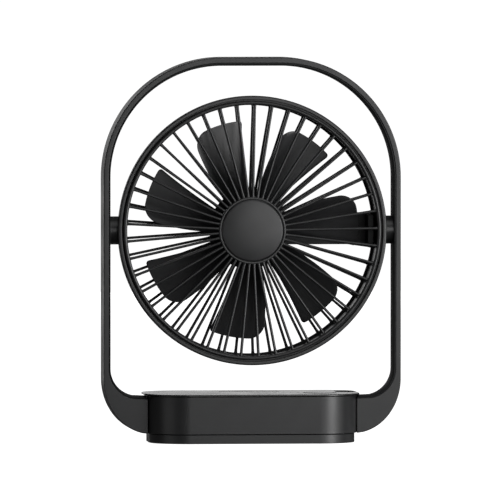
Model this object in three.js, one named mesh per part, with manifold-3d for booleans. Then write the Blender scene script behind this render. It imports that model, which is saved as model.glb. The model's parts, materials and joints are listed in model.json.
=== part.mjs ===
// Battery desk fan: a tilting guard head in a carrying hoop that stands on a low base.
// Millimetres, +Z up, the air blows towards -Y. Origin: middle of the base, on the table.
import * as THREE from "three";
import { mergeVertices } from "three/addons/utils/BufferGeometryUtils.js";
import Module from "manifold-3d";

const wasm = await Module();
wasm.setup();

// ---- Driving dimensions ------------------------------------------------------------------

const GAP = 0.3; // assembly clearance between neighbouring pieces
const DEG = Math.PI / 180;

// Carrying hoop, seen from the front
const HOOP_HALF_WIDTH = 83;
const HOOP_TOP = 214.6;
const HOOP_BOTTOM = 5;
const HOOP_DEPTH = 21;
const HOOP_TOP_RADIUS = 66.8;
const HOOP_FOOT = { across: 26.5, up: 30.5 }; // oval corner outside each foot
const HOOP_HEEL_RADIUS = 16.9; // inside corner between an arm and its foot
const HOOP_HEEL_HEIGHT = 41.5; // centre of that corner above the table
const BAND_THICKNESS = 2.75; // along the arms
const TOP_THICKNESS = 3.15; // and across the top
const CHANNEL_DEPTH = 1.2; // lead channel in the inner face of the band
const CHANNEL_WIDTH = 10;
const STRIP_EDGE = 0.3; // thickness of the inner strip at its two edges
const STRIP_CROWN = 1.4; // and along its middle
const HOOP_FOOT_END = 52; // the feet are drawn to here, then cut back by the base
const SEAT_GAP = 1.4; // shadow gap between the base's wall and the shoulder of a foot
const TONGUE = { x: 51.5, y: 7.5, low: 8.5, high: 23.4 };

// Base, seen from above: outlines are the rim's outline moved inwards
const RIM = { halfWidth: 60.2, halfDepth: 29.5, frontRadius: 24.2, rearRadius: 18 };
const BODY_INSET = 1.7;
const WALL = 2;
const PLATE_INSET = 2.8;
const FOOT_HEIGHT = 0.3; // how far the rubber feet lift the bottom plate
const PLATE_FLOOR = 2.3;
const PLATE_TOP = 5.25;
const BODY_TOP = 26.4;
const DECK_LOW = 24.95;
const DECK_TOP = 27.75;

// Push button and indicators on the deck
const BUTTON = { x: 38.1, y: -4.5, radius: 9.2, low: 22.65, top: 27.95 };
const LENS_COUNT = 5;
const LENS_FIRST_X = 9;
const LENS_PITCH = 4.3;
const LENS_RADIUS = 0.8;
const WINDOW = { halfWidth: 16.5, y: 9.2, halfDepth: 5.6 };
const FINGER_DISH = { x: 53.2, y: 8.5, halfWidth: 5.2, halfDepth: 8.5, depth: 0.8 };

// Inside the base
const CELL_RADIUS = 9.2;
const CELL_LENGTH = 65;
const CELL_LEFT = -43.5;
const BOARD = { left: 23, right: 46.5, front: -15, rear: 22, low: 17.25, high: 18.75 };
const STANDOFF_Y = 14;
const USB = { x: 33, halfWidth: 4.5, low: 13.65, high: 16.95, mouth: 27.4, back: 19.4 };
const POST_X = 49.6;
const POST_Y = 15;
const FOOT_X = 36;
const FOOT_Y = 17;

// Head: turns about the X axis through PIVOT_HEIGHT. Its own pieces are drawn about the Y axis.
const PIVOT_HEIGHT = 118.3;
const BOSS_RADIUS = 7.85;
const PIN_RADIUS = 3;
const WASHER_SPACE = 0.6; // between a boss and the band
const GUARD_RADIUS = 75;
const GUARD_REAR_RADIUS = 72.6;
const GUARD_FRONT = -11.5;
const GUARD_BACK = 14.4;
const GRILLE_RADIUS = 72.4;
const GRILLE_INNER = 69.9;
const RING_SIDES = 60;
const RIB_COUNT = 45;
const RIB_PITCH = 360 / RIB_COUNT;
const FRONT_RIB = { width: 1.3, front: -10.2, back: -6.9, turn: -1.15 };
const REAR_RIB = { width: 1.4, front: 11, back: 14, turn: -2.05 };
const HUB_RADIUS = 18.7;
const HUB_CAP_RADIUS = 17.25;
const DUCT_HALF_HEIGHT = 8.5;
const DUCT_BACK = 18.5;
const DUCT_WALL = 1.5;
const LEAD_X = 67.6; // where the motor's lead runs from the pivot back to the duct
const MOTOR_CAP_RADIUS = 21.5;

// Impeller
const BLADE_COUNT = 7;
const BLADE_TIP = 60.7;
const BLADE_ROOT = 16;
const BLADE = {
  firstAngle: 42.4, // clockwise edge of the first blade at the tip, counted from +X
  rootTurn: 4, // how much that edge turns towards the root
  tipSpan: 28.4,
  rootSpan: 35,
  back: 9, // axial place of the clockwise, leading edge
  front: -2,
  camber: 1.2,
  thickness: 1.4,
};
const LEADING_CORNER = 2; // tip corner radii
const TRAILING_CORNER = 8;
const IMPELLER_HUB_RADIUS = 17;

// ---- Materials ---------------------------------------------------------------------------

const finish = (color, roughness, metalness = 0) =>
  new THREE.MeshStandardMaterial({ color, roughness, metalness });

const satinBlack = finish(0x26272a, 0.45);
const deckBlack = finish(0x2c2d30, 0.3);
const ribBlack = finish(0x1c1d1f, 0.5);
const bladeBlack = finish(0x222326, 0.5);
const capBlack = finish(0x303135, 0.4);
const rubberBlack = finish(0x141414, 0.9);
const lensGrey = finish(0x6f757c, 0.3);
const steel = finish(0xb8bcc0, 0.35, 1);
const copper = finish(0xa8603a, 0.4, 1);
const boardGreen = finish(0x1f5a38, 0.6);
const cellBlue = finish(0x2f5f8f, 0.5);

// ---- Solids ------------------------------------------------------------------------------

// A closed three.js geometry as a solid with its faces outwards.
function solid(geometry) {
  const loose = geometry.index ? geometry.toNonIndexed() : geometry;
  const bare = new THREE.BufferGeometry();
  bare.setAttribute("position", loose.getAttribute("position"));
  const merged = mergeVertices(bare, 1e-4);
  const vertProperties = merged.getAttribute("position").array;
  const triVerts = Uint32Array.from(merged.index.array);
  const made = new wasm.Manifold(new wasm.Mesh({ numProp: 3, vertProperties, triVerts }));
  if (made.volume() > 0) return made;
  triVerts.reverse();
  return new wasm.Manifold(new wasm.Mesh({ numProp: 3, vertProperties, triVerts }));
}

const joined = (...solids) => solids.reduce((sum, next) => sum.add(next));
const cutBy = (body, ...tools) => tools.reduce((rest, tool) => rest.subtract(tool), body);

function addPiece(group, name, body, material) {
  const { vertProperties, triVerts } = body.getMesh();
  const geometry = new THREE.BufferGeometry();
  geometry.setAttribute("position", new THREE.BufferAttribute(vertProperties, 3));
  geometry.setIndex(new THREE.BufferAttribute(triVerts, 1));
  geometry.computeVertexNormals();
  const piece = new THREE.Mesh(geometry, material);
  piece.name = name;
  group.add(piece);
}

function box(x0, x1, y0, y1, z0, z1) {
  const made = new THREE.BoxGeometry(x1 - x0, y1 - y0, z1 - z0);
  return solid(made.translate((x0 + x1) / 2, (y0 + y1) / 2, (z0 + z1) / 2));
}

// A profile of [radius, place along the axis] turned about an axis through a point.
function turned(profile, { axis = "y", sides = 18, at = [0, 0, 0] } = {}) {
  const points = profile.map(([radius, along]) => new THREE.Vector2(radius, along));
  if (profile[0][0] > 0) points.push(points[0].clone());
  const made = new THREE.LatheGeometry(points, sides);
  if (axis === "z") made.rotateX(Math.PI / 2);
  if (axis === "x") made.rotateZ(-Math.PI / 2);
  return solid(made.translate(...at));
}

const rod = (radius, from, to, options) =>
  turned([[0, from], [radius, from], [radius, to], [0, to]], options);

const tube = (inner, outer, from, to, options) =>
  turned([[inner, from], [outer, from], [outer, to], [inner, to]], options);

// An outline in plan, between two heights.
function slab(shape, low, high, curveSegments = 7) {
  const made = new THREE.ExtrudeGeometry(shape, {
    depth: high - low,
    bevelEnabled: false,
    curveSegments,
  });
  return solid(made.translate(0, 0, low));
}

// An outline in front view (x, z), spread evenly to both sides of y = 0.
function slice(shape, depth, curveSegments = 9) {
  const made = new THREE.ExtrudeGeometry(shape, { depth, bevelEnabled: false, curveSegments });
  return solid(made.rotateX(Math.PI / 2).translate(0, depth / 2, 0));
}

// A closed skin over rings of points with equal counts, capped at its first and last ring.
function loft(rings) {
  const count = rings[0].length;
  const corners = [];
  const quad = (a, b, c, d) => corners.push(a, b, c, a, c, d);
  for (let i = 0; i + 1 < rings.length; i += 1)
    for (let j = 0; j < count; j += 1) {
      const next = (j + 1) % count;
      quad(rings[i][j], rings[i][next], rings[i + 1][next], rings[i + 1][j]);
    }
  const last = rings[rings.length - 1];
  for (let j = 1; j + 1 < count; j += 1) {
    corners.push(rings[0][0], rings[0][j + 1], rings[0][j]);
    corners.push(last[0], last[j], last[j + 1]);
  }
  return solid(new THREE.BufferGeometry().setFromPoints(corners));
}

// ---- Outlines ----------------------------------------------------------------------------

// The base in plan: a rounded box with wide front corners and tighter rear ones.
function baseOutline(inset) {
  const x = RIM.halfWidth - inset;
  const y = RIM.halfDepth - inset;
  const front = RIM.frontRadius - inset;
  const rear = RIM.rearRadius - inset;
  const shape = new THREE.Shape();
  shape.absarc(x - front, -y + front, front, -90 * DEG, 0);
  shape.absarc(x - rear, y - rear, rear, 0, 90 * DEG);
  shape.absarc(-x + rear, y - rear, rear, 90 * DEG, 180 * DEG);
  shape.absarc(-x + front, -y + front, front, 180 * DEG, 270 * DEG);
  return shape;
}

function roundedRectangle(x, y, halfWidth, halfDepth, radius) {
  const shape = new THREE.Shape();
  const dx = halfWidth - radius;
  const dy = halfDepth - radius;
  shape.absarc(x + dx, y - dy, radius, -90 * DEG, 0);
  shape.absarc(x + dx, y + dy, radius, 0, 90 * DEG);
  shape.absarc(x - dx, y + dy, radius, 90 * DEG, 180 * DEG);
  shape.absarc(x - dx, y - dy, radius, 180 * DEG, 270 * DEG);
  return shape;
}

const ARC_X = HOOP_HALF_WIDTH - HOOP_TOP_RADIUS;
const ARC_Z = HOOP_TOP - HOOP_TOP_RADIUS;
const INNER_RADIUS = HOOP_TOP_RADIUS - TOP_THICKNESS;
const INNER_ARC_X = HOOP_HALF_WIDTH - BAND_THICKNESS - INNER_RADIUS;
const HEEL_X = HOOP_HALF_WIDTH - BAND_THICKNESS - HOOP_HEEL_RADIUS;

// The inner edge of the band from the right foot over the top to the left foot, moved
// inwards (towards the head) by the given distance.
function traceInnerEdge(path, inwards, footEnd) {
  const top = INNER_RADIUS - inwards;
  const heel = HOOP_HEEL_RADIUS - inwards;
  path.lineTo(footEnd, HOOP_HEEL_HEIGHT - heel);
  path.absarc(HEEL_X, HOOP_HEEL_HEIGHT, heel, -90 * DEG, 0);
  path.absarc(INNER_ARC_X, ARC_Z, top, 0, 90 * DEG);
  path.absarc(-INNER_ARC_X, ARC_Z, top, 90 * DEG, 180 * DEG);
  path.absarc(-HEEL_X, HOOP_HEEL_HEIGHT, heel, 180 * DEG, 270 * DEG);
  path.lineTo(-footEnd, HOOP_HEEL_HEIGHT - heel);
}

// The same edge the other way round, from the left foot to the right one.
function traceInnerEdgeBack(path, inwards, footEnd) {
  const top = INNER_RADIUS - inwards;
  const heel = HOOP_HEEL_RADIUS - inwards;
  path.lineTo(-footEnd, HOOP_HEEL_HEIGHT - heel);
  path.absarc(-HEEL_X, HOOP_HEEL_HEIGHT, heel, 270 * DEG, 180 * DEG, true);
  path.absarc(-INNER_ARC_X, ARC_Z, top, 180 * DEG, 90 * DEG, true);
  path.absarc(INNER_ARC_X, ARC_Z, top, 90 * DEG, 0, true);
  path.absarc(HEEL_X, HOOP_HEEL_HEIGHT, heel, 0, -90 * DEG, true);
  path.lineTo(footEnd, HOOP_HEEL_HEIGHT - heel);
}

function hoopOutline() {
  const { across, up } = HOOP_FOOT;
  const footX = HOOP_HALF_WIDTH - across;
  const footZ = HOOP_BOTTOM + up;
  const shape = new THREE.Shape();
  shape.moveTo(HOOP_FOOT_END, HOOP_BOTTOM);
  shape.absellipse(footX, footZ, across, up, -90 * DEG, 0);
  shape.absarc(ARC_X, ARC_Z, HOOP_TOP_RADIUS, 0, 90 * DEG);
  shape.absarc(-ARC_X, ARC_Z, HOOP_TOP_RADIUS, 90 * DEG, 180 * DEG);
  shape.absellipse(-footX, footZ, across, up, 180 * DEG, 270 * DEG);
  shape.lineTo(-HOOP_FOOT_END, HOOP_BOTTOM);
  traceInnerEdgeBack(shape, 0, HOOP_FOOT_END);
  return shape;
}

// A layer that follows the inner edge of the band: from one offset to another.
function layerOutline(near, far, footEnd) {
  const shape = new THREE.Shape();
  const heel = HOOP_HEEL_RADIUS - near;
  shape.moveTo(footEnd, HOOP_HEEL_HEIGHT - heel);
  traceInnerEdge(shape, near, footEnd);
  traceInnerEdgeBack(shape, far, footEnd);
  return shape;
}

// ---- Base --------------------------------------------------------------------------------

const root = new THREE.Group();
const BODY_LOW = PLATE_TOP + GAP;
const POSTS = [[-POST_X, -POST_Y], [POST_X, -POST_Y], [-POST_X, POST_Y], [POST_X, POST_Y]];
const FEET = [[-FOOT_X, -FOOT_Y], [FOOT_X, -FOOT_Y], [-FOOT_X, FOOT_Y], [FOOT_X, FOOT_Y]];
const HOOP_SCREW_X = 54.6;
const SCREW_HOLE = 1.3;
const SMALL = 10; // sides of small round pieces

function baseBody() {
  const outer = slab(baseOutline(BODY_INSET), BODY_LOW, BODY_TOP);
  const hollow = slab(baseOutline(BODY_INSET + WALL), BODY_LOW - 1, BODY_TOP + 1);
  const reach = TONGUE.y + GAP;
  const window = box(-80, 80, -reach, reach, TONGUE.low - GAP, TONGUE.high + 1.2);
  const usbSide = USB.halfWidth + GAP;
  const usb = box(USB.x - usbSide, USB.x + usbSide, 23, 35, USB.low - GAP, USB.high + GAP);
  addPiece(root, "base_body", cutBy(outer, hollow, window, usb), satinBlack);
}

function topCover() {
  const rimLow = BODY_TOP + GAP;
  const rimRound = 0.5;
  const rim = new THREE.ExtrudeGeometry(baseOutline(rimRound), {
    depth: DECK_TOP - rimLow - rimRound,
    bevelThickness: rimRound / 2,
    bevelSize: rimRound,
    bevelSegments: 1,
    curveSegments: 7,
  });
  rim.translate(0, 0, rimLow + rimRound / 2);
  const deck = slab(baseOutline(BODY_INSET + WALL + GAP), DECK_LOW, rimLow + 0.2);
  const standoffs = [27, 43].map((x) =>
    rod(1.8, BOARD.high + GAP, DECK_LOW + 0.2, { axis: "z", sides: 12, at: [x, STANDOFF_Y, 0] }),
  );
  const posts = POSTS.map(([x, y]) => {
    const post = rod(2.4, PLATE_TOP + GAP, DECK_LOW + 0.2, { axis: "z", sides: SMALL, at: [x, y, 0] });
    return post.subtract(rod(SCREW_HOLE, 0, 14, { axis: "z", sides: SMALL, at: [x, y, 0] }));
  });
  const buttonHole = rod(BUTTON.radius + GAP, 20, 30, {
    axis: "z",
    sides: 30,
    at: [BUTTON.x, BUTTON.y, 0],
  });
  const lensHoles = lensPlaces().map((x) =>
    rod(LENS_RADIUS + GAP, 20, 30, { axis: "z", sides: 8, at: [x, BUTTON.y, 0] }),
  );
  const seatX = WINDOW.halfWidth + GAP;
  const windowSeat = roundedRectangle(0, WINDOW.y, seatX, WINDOW.halfDepth + GAP, 2);
  const dish = roundedRectangle(
    FINGER_DISH.x,
    FINGER_DISH.y,
    FINGER_DISH.halfWidth,
    FINGER_DISH.halfDepth,
    3,
  );
  const whole = joined(solid(rim), deck, ...standoffs, ...posts);
  const made = cutBy(
    whole,
    buttonHole,
    ...lensHoles,
    slab(windowSeat, DECK_TOP - 1.2, 30, 3),
    slab(dish, DECK_TOP - FINGER_DISH.depth, 30, 4),
  );
  addPiece(root, "base_top_cover", made, deckBlack);
}

function bottomPlate() {
  const tray = slab(baseOutline(PLATE_INSET), FOOT_HEIGHT, PLATE_TOP);
  const hollow = slab(baseOutline(PLATE_INSET + WALL), PLATE_FLOOR, PLATE_TOP + 1);
  const recesses = FEET.map(([x, y]) => rod(4.3, 0, 1.5, { axis: "z", sides: 16, at: [x, y, 0] }));
  const screws = [...POSTS, [-HOOP_SCREW_X, 0], [HOOP_SCREW_X, 0]];
  const holes = screws.flatMap(([x, y]) => {
    const place = { axis: "z", sides: SMALL, at: [x, y, 0] };
    return [rod(SCREW_HOLE, 0, PLATE_TOP + 1, place), rod(2.6, 0, 1.8, place)];
  });
  addPiece(root, "base_bottom_plate", cutBy(tray, hollow, ...recesses, ...holes), satinBlack);
}

// A pan-head screw that points up, its head just inside the bottom plate.
function screwFromBelow(name, x, y, length) {
  const profile = [
    [0, 0.6],
    [1.7, 0.6],
    [2.2, 1],
    [2.2, 1.5],
    [1, 1.5],
    [1, 1.5 + length],
    [0, 1.9 + length],
  ];
  addPiece(root, name, turned(profile, { axis: "z", sides: SMALL, at: [x, y, 0] }), steel);
}

function baseFasteners() {
  POSTS.forEach(([x, y], i) => screwFromBelow("base_screw_" + (i + 1), x, y, 10));
  screwFromBelow("hoop_screw_left", -HOOP_SCREW_X, 0, 12);
  screwFromBelow("hoop_screw_right", HOOP_SCREW_X, 0, 12);
  FEET.forEach(([x, y], i) => {
    const foot = [[0, 0], [3.6, 0], [4, 0.4], [4, 1.2], [0, 1.2]];
    const made = turned(foot, { axis: "z", sides: 16, at: [x, y, 0] });
    addPiece(root, "rubber_foot_" + (i + 1), made, rubberBlack);
  });
}

function lensPlaces() {
  return Array.from({ length: LENS_COUNT }, (_, i) => LENS_FIRST_X + i * LENS_PITCH);
}

function indicators() {
  lensPlaces().forEach((x, i) => {
    const place = { axis: "z", sides: 8, at: [x, BUTTON.y, 0] };
    const made = rod(LENS_RADIUS, DECK_LOW + 0.4, DECK_TOP - 0.05, place);
    addPiece(root, "indicator_lens_" + (i + 1), made, lensGrey);
  });
  const pane = roundedRectangle(0, WINDOW.y, WINDOW.halfWidth, WINDOW.halfDepth, 1.7);
  addPiece(root, "indicator_window", slab(pane, DECK_TOP - 0.9, DECK_TOP - 0.1, 3), capBlack);
}

function powerButton() {
  const { x, y, radius, low, top } = BUTTON;
  const skirt = low + 0.7;
  const profile = [
    [0, low],
    [1.8, low],
    [1.8, skirt],
    [radius, skirt],
    [radius, top - 0.4],
    [radius - 0.4, top],
    [0, top],
  ];
  const cap = turned(profile, { axis: "z", sides: 30, at: [x, y, 0] });
  const tabReach = radius + 1.4; // two tabs under the deck keep the button in
  const tabs = box(x - 4, x + 4, y - tabReach, y + tabReach, skirt, skirt + 0.9);
  addPiece(root, "power_button", cap.add(tabs), deckBlack);
}

function electronics() {
  const { left, right, front, rear, low, high } = BOARD;
  addPiece(root, "control_board", box(left, right, front, rear, low, high), boardGreen);
  const foot = high + GAP;
  const body = box(BUTTON.x - 3, BUTTON.x + 3, BUTTON.y - 3, BUTTON.y + 3, foot, foot + 2);
  const plunger = rod(1.6, foot + 1, foot + 2.8, {
    axis: "z",
    sides: SMALL,
    at: [BUTTON.x, BUTTON.y, 0],
  });
  addPiece(root, "push_switch", body.add(plunger), rubberBlack);
  const shell = roundedRectangle(USB.x, (USB.low + USB.high) / 2, USB.halfWidth, 1.65, 1.5);
  const mouth = roundedRectangle(USB.x, (USB.low + USB.high) / 2, USB.halfWidth - 0.4, 1.25, 1.1);
  const along = (shape, from, to) => {
    const depth = to - from;
    const made = new THREE.ExtrudeGeometry(shape, { depth, bevelEnabled: false, curveSegments: 3 });
    return solid(made.rotateX(Math.PI / 2).translate(0, to, 0));
  };
  const socket = along(shell, USB.back, USB.mouth).subtract(along(mouth, USB.back + 1, USB.mouth + 1));
  addPiece(root, "usb_socket", socket, steel);
  const cellHeight = PLATE_FLOOR + GAP + CELL_RADIUS;
  [["front", -1], ["rear", 1]].forEach(([side, sign]) => {
    const at = [CELL_LEFT, sign * (CELL_RADIUS + 0.2), cellHeight];
    const profile = [
      [0, 0],
      [CELL_RADIUS, 0],
      [CELL_RADIUS, CELL_LENGTH - 1],
      [3, CELL_LENGTH - 1],
      [3, CELL_LENGTH],
      [0, CELL_LENGTH],
    ];
    addPiece(root, "battery_cell_" + side, turned(profile, { axis: "x", at }), cellBlue);
  });
}

// ---- Carrying hoop -----------------------------------------------------------------------

function hoopBand() {
  const band = slice(hoopOutline(), HOOP_DEPTH);
  const channel = slice(layerOutline(-CHANNEL_DEPTH, 1, HOOP_FOOT_END - 5), CHANNEL_WIDTH);
  const base = slab(baseOutline(BODY_INSET - SEAT_GAP), -10, 40);
  const { x, y, low, high } = TONGUE;
  const reach = RIM.halfWidth + 2;
  const tongues = [-1, 1].map((side) => {
    const ends = [side * x, side * reach].sort((a, b) => a - b);
    const tongue = box(ends[0], ends[1], -y, y, low, high);
    const place = { axis: "z", sides: SMALL, at: [side * HOOP_SCREW_X, 0, 0] };
    return tongue.subtract(rod(SCREW_HOLE, 0, 18, place));
  });
  const pinHoles = rod(PIN_RADIUS + GAP, -81, 81, { axis: "x", at: [0, 0, PIVOT_HEIGHT] });
  const leadHole = box(48, 66, -2.4, 2.4, TONGUE.high - 1.6, TONGUE.high + 2);
  const made = cutBy(joined(cutBy(band, channel, base), ...tongues), pinHoles, leadHole);
  addPiece(root, "hoop_band", made, satinBlack);
}

// Stations along the inner edge of the band: [x, z] with the inward direction.
function edgeStations(inwards, footEnd) {
  const stations = [];
  const arc = (cx, cz, radius, from, to, steps) => {
    for (let i = 0; i <= steps; i += 1) {
      const angle = (from + ((to - from) * i) / steps) * DEG;
      const outX = Math.cos(angle);
      const outZ = Math.sin(angle);
      stations.push({ x: cx + radius * outX, z: cz + radius * outZ, inX: -outX, inZ: -outZ });
    }
  };
  const top = INNER_RADIUS - inwards;
  const heel = HOOP_HEEL_RADIUS - inwards;
  const low = HOOP_HEEL_HEIGHT - heel;
  stations.push({ x: footEnd, z: low, inX: 0, inZ: 1 });
  arc(HEEL_X, HOOP_HEEL_HEIGHT, heel, -90, 0, 6);
  arc(INNER_ARC_X, ARC_Z, top, 0, 90, 12);
  arc(-INNER_ARC_X, ARC_Z, top, 90, 180, 12);
  arc(-HEEL_X, HOOP_HEEL_HEIGHT, heel, 180, 270, 6);
  stations.push({ x: -footEnd, z: low, inX: 0, inZ: 1 });
  return stations;
}

function hoopStrip() {
  const half = HOOP_DEPTH / 2;
  const crownSteps = 6;
  const section = [[0, -half], [0, half]];
  for (let i = 0; i <= crownSteps; i += 1) {
    const y = half - (2 * half * i) / crownSteps;
    section.push([STRIP_EDGE + (STRIP_CROWN - STRIP_EDGE) * (1 - (y / half) ** 2), y]);
  }
  const rings = edgeStations(GAP, HEEL_X - 6).map(({ x, z, inX, inZ }) =>
    section.map(([rise, y]) => new THREE.Vector3(x + rise * inX, y, z + rise * inZ)),
  );
  const holes = rod(BOSS_RADIUS + GAP, -90, 90, { axis: "x", at: [0, 0, PIVOT_HEIGHT] });
  const base = slab(baseOutline(BODY_INSET - SEAT_GAP), -10, 40);
  addPiece(root, "hoop_inner_strip", cutBy(loft(rings), holes, base), satinBlack);
}

function pivots() {
  const wall = HOOP_HALF_WIDTH - BAND_THICKNESS;
  const boss = wall - WASHER_SPACE;
  [["left", -1], ["right", 1]].forEach(([side, sign]) => {
    const place = { axis: "x", at: [0, 0, PIVOT_HEIGHT] };
    const bore = side === "right" ? 1.6 : 0.8; // the fan's lead runs through the right pin
    const pin = [
      [bore, sign * (GUARD_RADIUS - 0.2)],
      [PIN_RADIUS, sign * (GUARD_RADIUS - 0.2)],
      [PIN_RADIUS, sign * (wall + 0.1)],
      [4.7, sign * (wall + 0.1)],
      [4.7, sign * (wall + 0.9)],
      [bore, sign * (wall + 0.9)],
    ];
    addPiece(root, "pivot_pin_" + side, turned(pin, place), steel);
    const washer = tube(PIN_RADIUS + GAP, 7, sign * (boss + 0.1), sign * (boss + 0.5), place);
    addPiece(root, "friction_washer_" + side, washer, rubberBlack);
  });
}

// Flat lead in the channel of the right arm, from the base up to the pivot pin.
function fanLead() {
  const shape = new THREE.Shape();
  const near = HOOP_HEEL_RADIUS + 0.3;
  const far = HOOP_HEEL_RADIUS + 0.9;
  const armX = HEEL_X;
  shape.moveTo(50, HOOP_HEEL_HEIGHT - far);
  shape.absarc(armX, HOOP_HEEL_HEIGHT, far, -90 * DEG, 0);
  shape.lineTo(armX + far, PIVOT_HEIGHT - 6);
  shape.lineTo(armX + near, PIVOT_HEIGHT - 6);
  shape.absarc(armX, HOOP_HEEL_HEIGHT, near, 0, -90 * DEG, true);
  shape.lineTo(50, HOOP_HEEL_HEIGHT - near);
  addPiece(root, "fan_lead", slice(shape, 4, 6), rubberBlack);
}

// ---- Head --------------------------------------------------------------------------------

const head = new THREE.Group();
head.position.z = PIVOT_HEIGHT;
root.add(head);

// One solid copied around the fan's axis and joined to a body.
function withCopies(body, spoke, count, firstDegrees) {
  const copies = Array.from({ length: count }, (_, i) =>
    spoke.rotate([0, -(firstDegrees + (i * 360) / count), 0]),
  );
  return joined(body, ...copies);
}

function guardDrum() {
  const seat = GRILLE_RADIUS + GAP;
  const profile = [
    [seat, GUARD_FRONT],
    [GUARD_RADIUS - 0.4, GUARD_FRONT],
    [GUARD_RADIUS, GUARD_FRONT + 0.4],
    [GUARD_RADIUS, -6],
    [GUARD_REAR_RADIUS, GUARD_BACK],
    [70.3, GUARD_BACK],
    [70.9, -8.3],
    [seat, -8.3],
  ];
  const leadHole = rod(1.6, 60, 80, { axis: "x", sides: 12 });
  const drum = turned(profile, { sides: RING_SIDES });
  addPiece(head, "guard_drum", drum.subtract(leadHole), satinBlack);
}

function frontGrille() {
  const ring = turned(
    [
      [GRILLE_INNER, -8.6],
      [GRILLE_RADIUS, -8.6],
      [GRILLE_RADIUS, GUARD_FRONT],
      [GRILLE_INNER + 0.5, GUARD_FRONT],
      [GRILLE_INNER, GUARD_FRONT + 0.5],
    ],
    { sides: RIB_COUNT },
  );
  const { width, front, back, turn } = FRONT_RIB;
  const rib = box(HUB_RADIUS - 0.7, GRILLE_INNER + 0.5, front, back, -width / 2, width / 2);
  const hub = turned(
    [
      [0, -8.4],
      [HUB_CAP_RADIUS + GAP, -8.4],
      [HUB_CAP_RADIUS + GAP, -11.2],
      [HUB_RADIUS, -11.2],
      [HUB_RADIUS, -6.6],
      [0, -6.6],
    ],
    { sides: RIB_COUNT },
  );
  const facing = [0, -(turn + RIB_PITCH / 2), 0]; // a flat of each ring faces each rib
  const rings = ring.add(hub).rotate(facing);
  addPiece(head, "front_grille", withCopies(rings, rib, RIB_COUNT, 90 + turn), ribBlack);
}

function hubCap() {
  const profile = [
    [0, -8.7],
    [HUB_CAP_RADIUS, -8.7],
    [HUB_CAP_RADIUS, -11.1],
    [HUB_CAP_RADIUS - 0.6, -11.6],
    [10, -12.2],
    [0, -12.5],
  ];
  addPiece(head, "hub_cap", turned(profile, { sides: 36 }), capBlack);
}

const MOTOR_SCREW_RADIUS = 8;
const MOTOR_SCREW_ANGLES = [90, 210, 330];
const LEAD_HOLE_X = 13.8;

function motorScrewPlaces() {
  return MOTOR_SCREW_ANGLES.map((angle) => [
    MOTOR_SCREW_RADIUS * Math.cos(angle * DEG),
    0,
    MOTOR_SCREW_RADIUS * Math.sin(angle * DEG),
  ]);
}

function rearGrille() {
  const { width, front, back, turn } = REAR_RIB;
  const facing = [0, -(turn + RIB_PITCH / 2), 0]; // a flat of the ring faces each rib
  const ring = tube(68.6, 70, front, back + 0.2, { sides: RIB_COUNT }).rotate(facing);
  const rib = box(20, 69.2, front, back, -width / 2, width / 2);
  const plate = rod(22, front, 13.5, { sides: 30 });
  const high = DUCT_HALF_HEIGHT;
  const ductFloor = box(18, 69.2, front, back, -high, high);
  const screwHoles = motorScrewPlaces().map((at) => rod(SCREW_HOLE, 5, 20, { sides: SMALL, at }));
  const made = cutBy(
    joined(withCopies(ring, rib, RIB_COUNT, 90 + turn), plate, ductFloor),
    box(65, LEAD_X + 1, 5, 20, -1.5, 1.5),
    rod(3, 5, 20),
    box(LEAD_HOLE_X - 1.4, MOTOR_CAP_RADIUS + 3, 12.4, 16, -1.4, 1.4),
    rod(1.3, 5, 20, { sides: SMALL, at: [LEAD_HOLE_X, 0, 0] }),
    ...screwHoles,
  );
  addPiece(head, "rear_grille", made, ribBlack);
}

// The duct behind the rear grille, and the box that leads from the right pivot to it.
function cableDuct() {
  const high = DUCT_HALF_HEIGHT;
  const inside = high - DUCT_WALL;
  const near = MOTOR_CAP_RADIUS + 0.7;
  const front = REAR_RIB.back + GAP;
  const channel = box(near, 69.2, front, DUCT_BACK, -high, high);
  const hollow = box(near + DUCT_WALL, 69, front + 1, DUCT_BACK + 1, -inside, inside);
  const inlet = box(near - 1, near + 3, front - 1, DUCT_BACK - 2, -1.5, 1.5);
  const outlet = box(65, LEAD_X + 1, front - 1, front + 2, -1.5, 1.5);
  addPiece(head, "rear_duct", cutBy(channel, hollow, inlet, outlet), ribBlack);
  const cover = box(near, 69.2, DUCT_BACK + GAP, DUCT_BACK + 1.7, -high, high);
  addPiece(head, "duct_cover", cover, satinBlack);
  const leadBox = box(65.4, 68.7, -2, REAR_RIB.front - GAP, -high, high);
  const way = box(66.6, 70, -0.9, 20, -inside, inside);
  addPiece(head, "lead_box", leadBox.subtract(way), ribBlack);
}

function motorCap() {
  const profile = [
    [0, 20.2],
    [16.8, 19.4],
    [19.6, 17.4],
    [19.9, 14.3],
    [MOTOR_CAP_RADIUS, 14.3],
    [MOTOR_CAP_RADIUS - 0.3, 18],
    [17.5, 21],
    [0, 21.8],
  ];
  const inlet = box(15, 30, 14, 17, -1.6, 1.6);
  addPiece(head, "motor_cap", turned(profile, { sides: 30 }).subtract(inlet), satinBlack);
}

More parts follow.
